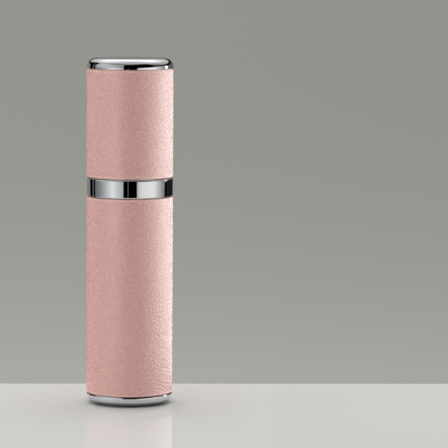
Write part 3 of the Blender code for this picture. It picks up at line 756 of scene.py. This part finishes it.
def leather_material():
    """Satin pink leather: painted shade in the creases, a patchy painted highlight along the turned edges,
    a drifting tone and a fine pore bump.
    """
    material, tree, shader = make_material("pink_leather")
    relief = add_node(tree, "ShaderNodeAttribute", {"attribute_name": "relief"}).outputs["Fac"]
    edge_lit = add_node(tree, "ShaderNodeAttribute", {"attribute_name": "edge_highlight"}).outputs["Fac"]
    tone = mix(tree, noise(tree, 7.0), (0.635, 0.345, 0.312, 1), (0.665, 0.368, 0.334, 1))
    # Painted shade: the creases between the pebbles are coloured darker than the crowns
    crease_shade = mix(tree, spread(tree, relief, 0.0, 1.0, 0.1, 0.8), (0.595, 0.318, 0.288, 1), tone)
    # Painted highlight: a lighter pink along the turned edges, broken up by noise
    edge_lit_share = add_node(tree, "ShaderNodeMath", {"operation": "MULTIPLY"})
    tree.links.new(edge_lit, edge_lit_share.inputs[0])
    tree.links.new(noise(tree, 0.8), edge_lit_share.inputs[1])
    colour = mix(tree, edge_lit_share.outputs[0], crease_shade, (0.80, 0.50, 0.44, 1))
    pores = noise(tree, 0.12, 2.0)
    join(
        tree, shader, Base_Color=colour,
        Roughness=spread(tree, noise(tree, 0.5), 0.22, 0.32),
        Specular_IOR_Level=0.9,
        Normal=bump(tree, pores, 0.2, 0.02),
    )
    return material


def chrome_material():
    """Polished plating, with faint smears and hairline wear."""
    material, tree, shader = make_material("polished_chrome")
    smear = noise(tree, 4.0, 5.0)
    tint = mix(tree, smear, (0.80, 0.81, 0.83, 1), (0.86, 0.865, 0.87, 1))
    scratches = noise(tree, 0.25, 6.0, 0.7)
    join(
        tree, shader, Base_Color=tint, Metallic=1.0,
        Roughness=spread(tree, smear, 0.02, 0.06),
        Normal=bump(tree, scratches, 0.02, 0.004),
    )
    return material


def metal_material(name, low, high, rough, grain_cell):
    """Turned or drawn metal, with its lines running round the axis."""
    material, tree, shader = make_material(name)
    stretched = add_node(tree, "ShaderNodeMapping", Vector=position(tree))
    stretched.inputs["Scale"].default_value = (0.15, 0.15, 1.0)
    lines = noise(tree, grain_cell, 4.0, 0.6, stretched.outputs["Vector"])
    join(
        tree, shader, Base_Color=mix(tree, noise(tree, 3.0), (*low, 1), (*high, 1)), Metallic=1.0,
        Roughness=spread(tree, lines, rough * 0.8, rough * 1.25),
        Normal=bump(tree, lines, 0.12, 0.01),
    )
    return material


def plastic_material(name, low, high, rough, transmission=0.0):
    """Moulded plastic, with a faint orange peel and a slightly uneven gloss."""
    material, tree, shader = make_material(name)
    join(
        tree, shader, Base_Color=mix(tree, noise(tree, 5.0), (*low, 1), (*high, 1)),
        Roughness=spread(tree, noise(tree, 1.5), rough * 0.85, rough * 1.2),
        Transmission_Weight=transmission, IOR=1.49,
        Normal=bump(tree, noise(tree, 0.35), 0.08, 0.01),
    )
    return material


def foam_material():
    """Closed-cell foam, with its cells as a bump."""
    material, tree, shader = make_material("closed_cell_foam")
    cell = 0.25
    voronoi = add_node(tree, "ShaderNodeTexVoronoi", Vector=position(tree), Scale=1 / (cell * MM))
    cells = voronoi.outputs["Distance"]
    join(
        tree, shader, Base_Color=mix(tree, cells, (0.74, 0.74, 0.72, 1), (0.84, 0.84, 0.82, 1)),
        Roughness=0.85, Normal=bump(tree, cells, 0.4, 0.05),
    )
    return material


def rubber_material():
    """Matt black rubber, with a fine moulded texture."""
    material, tree, shader = make_material("black_rubber")
    tone = mix(tree, noise(tree, 1.0), (0.018, 0.018, 0.02, 1), (0.035, 0.035, 0.035, 1))
    join(
        tree, shader, Base_Color=tone,
        Roughness=spread(tree, noise(tree, 0.4), 0.45, 0.65), Normal=bump(tree, noise(tree, 0.1), 0.2, 0.01),
    )
    return material


def glass_material():
    """Clear glass, a little uneven as blown glass is."""
    material, tree, shader = make_material("vial_glass")
    join(
        tree, shader, Base_Color=mix(tree, noise(tree, 8.0), (0.93, 0.97, 0.96, 1), (0.97, 0.99, 0.98, 1)),
        Roughness=0.02, Transmission_Weight=1.0, IOR=1.5,
        Normal=bump(tree, noise(tree, 5.0), 0.05, 0.05),
    )
    return material


# ---------------------------------------------------------------- studio


def emission_material(name, build):
    """An emitting material. build(tree) gives the socket or value for its strength, and its colour."""
    material = bpy.data.materials.new(name)
    material.use_nodes = True
    tree = material.node_tree
    tree.nodes.clear()
    strength, colour = build(tree)
    glow = add_node(tree, "ShaderNodeEmission", Strength=strength, Color=colour)
    output = tree.nodes.new("ShaderNodeOutputMaterial")
    tree.links.new(glow.outputs[0], output.inputs["Surface"])
    return material


def patch(name, first, last, low, high, glow, tint, distance=1000):
    """A softbox on a sphere round the bottle, hidden from the camera. Angles are degrees from the middle of
    the bottle: azimuth from first to last, 0 towards the camera and positive to the right, and elevation
    from low to high, which may be stops of (azimuth, elevation). Its brightness is glow(azimuth, elevation),
    and it fades out low down."""

    def edge(stops, azimuth):
        return stops if isinstance(stops, (int, float)) else np.interp(azimuth, *zip(*stops))

    column_width, rows = 3, 22
    columns = max(int((last - first) / column_width), 1)
    vertices, faces, values = [], [], []
    for i in range(columns + 1):
        azimuth = first + (last - first) * i / columns
        for j in range(rows + 1):
            elevation = edge(low, azimuth) * (1 - j / rows) + edge(high, azimuth) * j / rows
            turn, rise = math.radians(azimuth), math.radians(elevation)
            out = distance * math.cos(rise) * MM
            up = distance * math.sin(rise) * MM + CAD_BOX_MIDDLE[2]
            vertices.append((out * math.sin(turn), -out * math.cos(turn), up))
            kept = np.interp(elevation, (FADE_LOW, FADE_HIGH), (FADED, 1.0))
            values.append(glow(azimuth, elevation) * kept)
    for i in range(columns):
        for j in range(rows):
            k = i * (rows + 1) + j
            faces.append((k, k + rows + 1, k + rows + 2, k + 1))
    mesh = bpy.data.meshes.new(name)
    mesh.from_pydata(vertices, [], faces)
    mesh.attributes.new("glow", "FLOAT", "POINT").data.foreach_set("value", np.array(values, np.float32))

    def shine(tree):
        return add_node(tree, "ShaderNodeAttribute", {"attribute_name": "glow"}).outputs["Fac"], (*tint, 1)

    light = bpy.data.objects.new(name, mesh)
    bpy.context.scene.collection.objects.link(light)
    mesh.materials.append(emission_material(name, shine))
    light.visible_camera = False
    light.visible_shadow = False
    return light


def left_glow(azimuth, elevation):
    """The left softbox: brightest near its middle low down, and towards its far end high up."""
    low = np.interp(azimuth, [-106, -88, -70, -47, -30, -17], [0.14, 0.24, 0.46, 0.88, 0.60, 0.46])
    high = np.interp(azimuth, [-106, -80, -45, -17], [0.40, 0.58, 0.46, 0.28])
    share = min(max((elevation + 2) / 14, 0), 1)
    return low * (1 - share) + high * share


def right_glow(azimuth, elevation):
    """The right softbox: brightest in its middle, at every height."""
    stops = [19, 24, 32, 60, 70, 80, 92, 107]
    return np.interp(azimuth, stops, [0.42, 0.62, 0.76, 0.88, 0.84, 0.6, 0.4, 0.2])


def overhead_glow(azimuth, elevation):
    """The overhead softbox: brighter high up and behind, with a hot middle behind the bottle."""
    behind = (0.5 - 0.5 * math.cos(math.radians(azimuth))) ** 2
    hot = 0.9 * math.exp(-(((elevation - 58) / 18) ** 2)) * behind
    high_up = 0.4 * min(max((elevation - 44) / 24, 0), 1)
    return 0.13 + high_up * (1 - 0.4 * behind) + 0.4 * behind + hot


def hot_glow(azimuth, elevation):
    """A small hot lamp that fades out all round."""
    return 3.5 * math.exp(-(((azimuth - 113) / 6) ** 2) - ((elevation - 6.5) / 6) ** 2)


def even_glow(value):
    """The same brightness all over."""
    return lambda azimuth, elevation: value


def softboxes():
    """What the bright metal mirrors: softboxes at the left and right with a dark gap between them, a hot
    lamp at the right, a large softbox overhead, the grey walls behind, and thin lines of light in gaps."""
    overhead_edge = [
        (-150, 20), (-135, 30), (-120, 38), (-90, 42), (0, 44),
        (25, 50), (58, 50), (72, 30), (105, 26), (210, 20),
    ]
    right_edge = [(19, 3), (30, 4), (65, 11), (80, 15), (107, 17)]
    warm, pink = (1.0, 1.0, 0.94), (1.0, 0.80, 0.70)
    wall_distance = 1150
    patch("left_softbox", -106, -17, FADE_LOW, 42, left_glow, (0.97, 1.0, 1.0))
    patch("right_softbox", 19, 107, FADE_LOW, right_edge, right_glow, (1.0, 1.0, 0.985))
    patch("hot_softbox", 104, 122, -2, 15, hot_glow, WHITE, 980)
    patch("overhead", -150, 210, overhead_edge, 89.9, overhead_glow, (0.99, 1.0, 1.0))
    patch("wall_left", -185, -133, FADE_LOW, 14, even_glow(0.235), warm, wall_distance)
    patch("wall_right_low", 122, 175, FADE_LOW, -2, even_glow(0.014), warm, wall_distance)
    patch("wall_right", 122, 175, -2, 14, even_glow(0.12), warm, wall_distance)
    patch("left_line", -116.5, -114.0, FADE_LOW, 25, even_glow(0.26), WHITE)
    patch("right_line", 119.0, 122.0, FADE_HIGH, -2, even_glow(0.03), WHITE)
    patch("middle_line", -5.5, -3.5, FADE_HIGH, 2, even_glow(0.16), pink)


def collect(name, materials):
    """A collection of the pieces that have one of the materials."""
    collection = bpy.data.collections.new(name)
    for piece in list(bpy.context.scene.objects):
        if piece.type == "MESH" and piece.data.materials and piece.data.materials[0] in materials:
            collection.objects.link(piece)
    return collection


def area_light(name, azimuth, elevation, width, height, power, receivers, blockers, colour=WHITE):
    """An area light aimed at the middle of the bottle that lights only the receivers, and is shaded only by
    the blockers, or by everything if they are None. Its azimuth is measured from the camera, positive to
    the right."""
    data = bpy.data.lights.new(name, "AREA")
    data.shape = "RECTANGLE"
    data.size, data.size_y = width * MM, height * MM
    data.energy = power
    data.color = colour
    light = bpy.data.objects.new(name, data)
    bpy.context.scene.collection.objects.link(light)
    turn, rise = math.radians(azimuth), math.radians(elevation)
    aim = Matrix.Rotation(turn, 4, "Z") @ Matrix.Rotation(math.pi / 2 - rise, 4, "X")
    away = Matrix.Translation((0, 0, LIGHT_DISTANCE * MM))
    light.matrix_world = Matrix.Translation(CAD_BOX_MIDDLE) @ aim @ away
    light.visible_camera = False
    light.light_linking.receiver_collection = receivers
    if blockers:
        light.light_linking.blocker_collection = blockers
    return light


def floor(material):
    """The pale floor, which ends a little way behind the bottle. It is laid in 3 by 2 slabs, since only the
    one under the bottle shows in its bright metal. Returns them as a collection."""
    slabs = bpy.data.collections.new("floor")
    edges_x, edges_y = (-600, -110, 110, 600), (-420, -110, 33)
    for i in range(3):
        for j in range(2):
            left, right = edges_x[i] * MM, edges_x[i + 1] * MM
            front, back = edges_y[j] * MM, edges_y[j + 1] * MM
            corners = [(left, front, 0), (right, front, 0), (right, back, 0), (left, back, 0)]
            mesh = bpy.data.meshes.new("pale_floor")
            mesh.from_pydata(corners, [], [(0, 1, 2, 3)])
            mesh.materials.append(material)
            piece = bpy.data.objects.new("pale_floor", mesh)
            bpy.context.scene.collection.objects.link(piece)
            piece.visible_glossy = i == 1 and j == 1
            slabs.objects.link(piece)
    return slabs


def floor_material():
    """A pale slab under a thin polish, which mirrors only a little however low the view."""
    material = bpy.data.materials.new("pale_floor")
    material.use_nodes = True
    tree = material.node_tree
    tree.nodes.clear()
    tone = mix(tree, noise(tree, 60.0), (0.80, 0.80, 0.775, 1), (0.83, 0.83, 0.805, 1))
    slab = add_node(tree, "ShaderNodeBsdfDiffuse", Color=tone)
    haze = spread(tree, noise(tree, 12.0), 0.05, 0.08)
    polish = add_node(tree, "ShaderNodeBsdfGlossy", Color=(1, 1, 1, 1), Roughness=haze)
    blend = tree.nodes.new("ShaderNodeMixShader")
    blend.inputs["Fac"].default_value = FLOOR_POLISH
    tree.links.new(slab.outputs[0], blend.inputs[1])
    tree.links.new(polish.outputs[0], blend.inputs[2])
    output = tree.nodes.new("ShaderNodeOutputMaterial")
    tree.links.new(blend.outputs[0], output.inputs["Surface"])
    return material


def backdrop():
    """A tall grey wall all round, and a bottom, well beyond every camera. It glows and only the camera sees
    it;
    its painted light makes it a little lighter low down and to the left."""
    radius, bottom, top, steps = 2600, -1500, 2600, 96
    dark_height, light_height, curve_power = 0.066, -0.378, 2.8
    vertices, faces = [], []
    for i in range(steps):
        angle = 2 * math.pi * i / steps
        for height in (bottom, top):
            vertices.append((radius * math.cos(angle) * MM, radius * math.sin(angle) * MM, height * MM))
    for i in range(steps):
        j = (i + 1) % steps
        faces.append((2 * i, 2 * j, 2 * j + 1, 2 * i + 1))
    faces.append(tuple(range(0, 2 * steps, 2)))
    mesh = bpy.data.meshes.new("backdrop")
    mesh.from_pydata(vertices, [], faces)
    mesh.shade_smooth()

    def glow(tree):
        place = add_node(tree, "ShaderNodeSeparateXYZ")
        tree.links.new(position(tree), place.inputs[0])
        # Painted light: the wall's glow is stronger low down and to the left
        low_down = spread(tree, place.outputs["Z"], 0.0, 1.0, dark_height, light_height)
        curve = add_node(tree, "ShaderNodeMath", {"operation": "POWER"})
        tree.links.new(low_down, curve.inputs[0])
        curve.inputs[1].default_value = curve_power
        tone = mix(tree, curve.outputs[0], (0.300, 0.305, 0.279, 1), (0.400, 0.405, 0.378, 1))
        return spread(tree, place.outputs["X"], 1.02, 0.94, -0.5, 0.5), tone

    wall = bpy.data.objects.new("backdrop", mesh)
    bpy.context.scene.collection.objects.link(wall)
    mesh.materials.append(emission_material("backdrop", glow))
    wall.visible_glossy = False
    wall.visible_shadow = False
    wall.visible_diffuse = False
    return wall


def add_camera():
    """The camera, which looks at the bottle as the photograph does."""
    data = bpy.data.cameras.new("camera")
    data.lens = CAMERA_LENS
    data.clip_start, data.clip_end = 0.05, 20
    camera = bpy.data.objects.new("camera", data)
    bpy.context.scene.collection.objects.link(camera)
    aim = (
        Matrix.Rotation(-CAMERA_YAW, 4, "Z")
        @ Matrix.Rotation(math.pi / 2 - CAMERA_PITCH, 4, "X")
        @ Matrix.Rotation(CAMERA_ROLL, 4, "Z")
    )
    camera.matrix_world = Matrix.Translation((0, -CAMERA_DISTANCE * MM, CAMERA_HEIGHT * MM)) @ aim
    bpy.context.scene.camera = camera


def set_world():
    """A dark room, since all the light comes from the softboxes and the lights. Colours are shown as they
    are, without a film look."""
    world = bpy.data.worlds.new("studio")
    world.use_nodes = True
    background = world.node_tree.nodes["Background"]
    background.inputs["Strength"].default_value = 0.0
    bpy.context.scene.world = world
    bpy.context.scene.view_settings.view_transform = "Standard"


# ---------------------------------------------------------------- build

add_camera()
set_world()
backdrop()
FLOOR = floor(floor_material())

LEATHER = leather_material()
CHROME = chrome_material()
WRAPS = bpy.data.collections.new("wraps")
WRAPS.objects.link(leather_wrap("cap_wrap", "cap_leather", "cap", LEATHER, CAP_SEED))
WRAPS.objects.link(leather_wrap("case_wrap", "lower_leather", "case", LEATHER, CASE_SEED))
foot(CHROME)
ring(CHROME)
crown(CHROME)

ALUMINIUM = metal_material("satin_aluminium", (0.70, 0.71, 0.72), (0.80, 0.81, 0.82), 0.3, 0.2)
SILVER = metal_material("bright_shell", (0.80, 0.80, 0.81), (0.88, 0.88, 0.88), 0.24, 0.12)
STEEL = metal_material("spring_steel", (0.50, 0.51, 0.53), (0.62, 0.62, 0.64), 0.22, 0.1)
PUMP_PLASTIC = plastic_material("pump_plastic", (0.82, 0.82, 0.80), (0.88, 0.88, 0.86), 0.35)
INNER_PLASTIC = plastic_material("inner_plastic", (0.82, 0.82, 0.80), (0.88, 0.88, 0.86), 0.5)
TUBING = plastic_material("clear_tubing", (0.85, 0.88, 0.88), (0.90, 0.92, 0.92), 0.2, 0.7)
FOAM = foam_material()
RUBBER = rubber_material()
GLASS = glass_material()

eased_tube("case_tube", "lower_tube", TUBE_BORE, ALUMINIUM, "case")
eased_tube("cap_sleeve", "cap_tube", TUBE_BORE, ALUMINIUM, "cap")
vial(GLASS)
seal_ring(RUBBER)
closure_cover(SILVER)
pump_gland(PUMP_PLASTIC)
pump_stem(PUMP_PLASTIC)
spray_cover(SILVER)
spray_nozzle(PUMP_PLASTIC)
spring(STEEL)
valve_ball(STEEL)
cap_lining(INNER_PLASTIC)

# CAD nodes that are shown as they are, with a material on them
CARRIED_OVER = {
    "vial_liner": INNER_PLASTIC,
    "vial_cushion": FOAM,
    "neck_gasket": FOAM,
    "closure": PUMP_PLASTIC,
    "pump_housing": PUMP_PLASTIC,
    "dip_tube": TUBING,
    "piston": PUMP_PLASTIC,
    "actuator_button": PUMP_PLASTIC,
}
for node, material in CARRIED_OVER.items():
    shown = frame["nodes"][node]
    shown.data.materials.clear()
    shown.data.materials.append(material)

softboxes()

MATT = collect("matt", (PUMP_PLASTIC, INNER_PLASTIC, TUBING, FOAM, RUBBER))
MATT.children.link(WRAPS)
for azimuth, power in SOFT_LIGHTS:
    name = "soft_%d" % azimuth
    soft = area_light(name, azimuth, 0, LIGHT_WIDTH, LIGHT_HEIGHT, power, MATT, WRAPS)
    soft.visible_glossy = False
for azimuth, width, power in STRIPS:
    name = "strip_%d" % azimuth
    strip = area_light(name, azimuth, 0, width, LIGHT_HEIGHT, power, WRAPS, WRAPS)
    strip.visible_diffuse = False

METALS = collect("metals", (ALUMINIUM, SILVER, STEEL))
for azimuth, power in METAL_LIGHTS:
    name = "metal_%d" % azimuth
    area_light(name, azimuth, METAL_LIGHT_RISE, LIGHT_WIDTH, LIGHT_HEIGHT, power, METALS, None)

floor_light = area_light(
    "floor_light", 0, FLOOR_LIGHT_RISE, FLOOR_LIGHT_SIZE, FLOOR_LIGHT_SIZE, FLOOR_LIGHT,
    FLOOR, None, FLOOR_WHITE,
)
floor_light.visible_glossy = False
